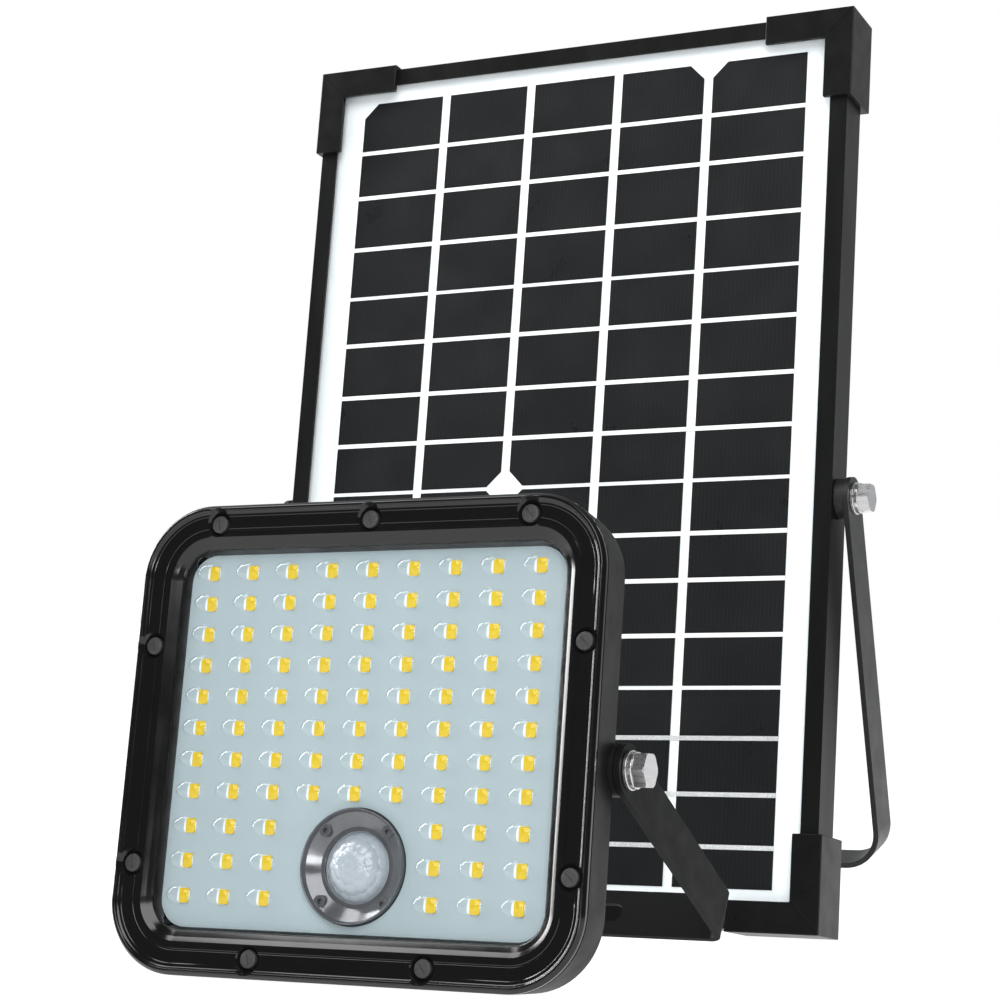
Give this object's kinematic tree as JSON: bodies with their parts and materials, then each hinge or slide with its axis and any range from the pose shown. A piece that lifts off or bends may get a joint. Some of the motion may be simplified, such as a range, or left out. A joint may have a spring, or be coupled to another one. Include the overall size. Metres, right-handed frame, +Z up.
{
  "type": "solar flood light",
  "caption": "Solar flood light: an LED lamp with a motion sensor and a framed solar panel, each tilting in its own U-bracket with a slotted crossbar.",
  "frame": {"origin": "on the floor, at the centre of the footprint of the lamp and the panel together", "axes": "+Z up, the lamp and the panel face -Y, +X is the right-hand side seen from the front"},
  "size_m": [0.255, 0.2674, 0.3494],
  "materials": {
    "powder_steel": "satin",
    "case_black": "satin",
    "bezel_black": "gloss",
    "bright_steel": "bright",
    "dark_screw": "satin black coated",
    "black_rubber": "matt",
    "clear_lens": "clear",
    "board_white": "white coated",
    "chip_yellow": "gloss",
    "alloy_plate": "satin",
    "cup_grey": "gloss",
    "dome_white": "satin",
    "sensor_can": "satin",
    "board_green": "satin",
    "battery_wrap": "film wrapped",
    "tray_black": "matt",
    "button_red": "gloss",
    "gland_black": "matt",
    "insert_brass": "satin",
    "frame_black": "black anodised",
    "cap_black": "satin",
    "cover_glass": "clear",
    "cell_dark": "dark silicon",
    "ribbon_tin": "bright",
    "sheet_white": "satin",
    "spacer_black": "matt"
  },
  "bodies": {
    "brackets": {"lamp_bracket": "powder_steel", "panel_bracket": "powder_steel"},
    "lamp_head": {"lamp_housing": "case_black", "front_bezel": "bezel_black", "bezel_screws": "dark_screw", "lens_gasket": "black_rubber", "lens_plate": "clear_lens", "led_board": "board_white", "led_chips": "chip_yellow", "heat_spreader": "alloy_plate", "spreader_screws": "bright_steel", "pir_cup": "cup_grey", "pir_dome": "dome_white", "pir_sensor": "sensor_can", "pir_board": "board_green", "battery_cells": "battery_wrap", "battery_tray": "tray_black", "control_board": "board_green", "control_board_screws": "bright_steel", "button_body": "gland_black", "button_nut": "alloy_plate", "button_switch": "tray_black", "lead_gland": "gland_black", "lead_gland_nut": "gland_black", "lead_gland_seal": "black_rubber", "lead_gland_locknut": "alloy_plate", "lamp_pivot_inserts": "insert_brass", "lamp_pivot_bolts": "bright_steel", "lamp_spring_washers": "bright_steel", "lamp_flat_washers": "bright_steel"},
    "power_button": {"power_button": "button_red"},
    "solar_panel": {"frame_rail_left": "frame_black", "frame_rail_right": "frame_black", "frame_rail_top": "frame_black", "frame_rail_bottom": "frame_black", "cap_top_left": "cap_black", "cap_top_right": "cap_black", "cap_bottom_left": "cap_black", "cap_bottom_right": "cap_black", "panel_glass": "cover_glass", "solar_cells": "cell_dark", "cell_ribbons": "ribbon_tin", "panel_backsheet": "sheet_white", "junction_box": "case_black", "junction_lid": "case_black", "junction_screws": "bright_steel", "junction_terminals": "insert_brass", "junction_gland": "black_rubber", "panel_pivot_spacers": "spacer_black", "panel_rivet_nuts": "alloy_plate", "panel_pivot_bolts": "bright_steel", "panel_spring_washers": "bright_steel", "panel_flat_washers": "bright_steel"}
  },
  "joints": [
    {"name": "lamp_tilt", "type": "hinge", "parent": "brackets", "child": "lamp_head", "pos_m": [0.03, -0.10365, 0.06501], "axis": [1, 0, 0], "range_deg": [-110, 70]},
    {"name": "panel_tilt", "type": "hinge", "parent": "brackets", "child": "solar_panel", "pos_m": [0, 0.09115, 0.15945], "axis": [-1, 0, 0], "range_deg": [-13, 110]},
    {"name": "power_button_press", "type": "slide", "parent": "lamp_head", "child": "power_button", "axis": [0, -0.9877, 0.1564], "range_m": [0, 0.0015], "stiffness_N_per_m": 1200, "springref_m": -0.001}
  ]
}
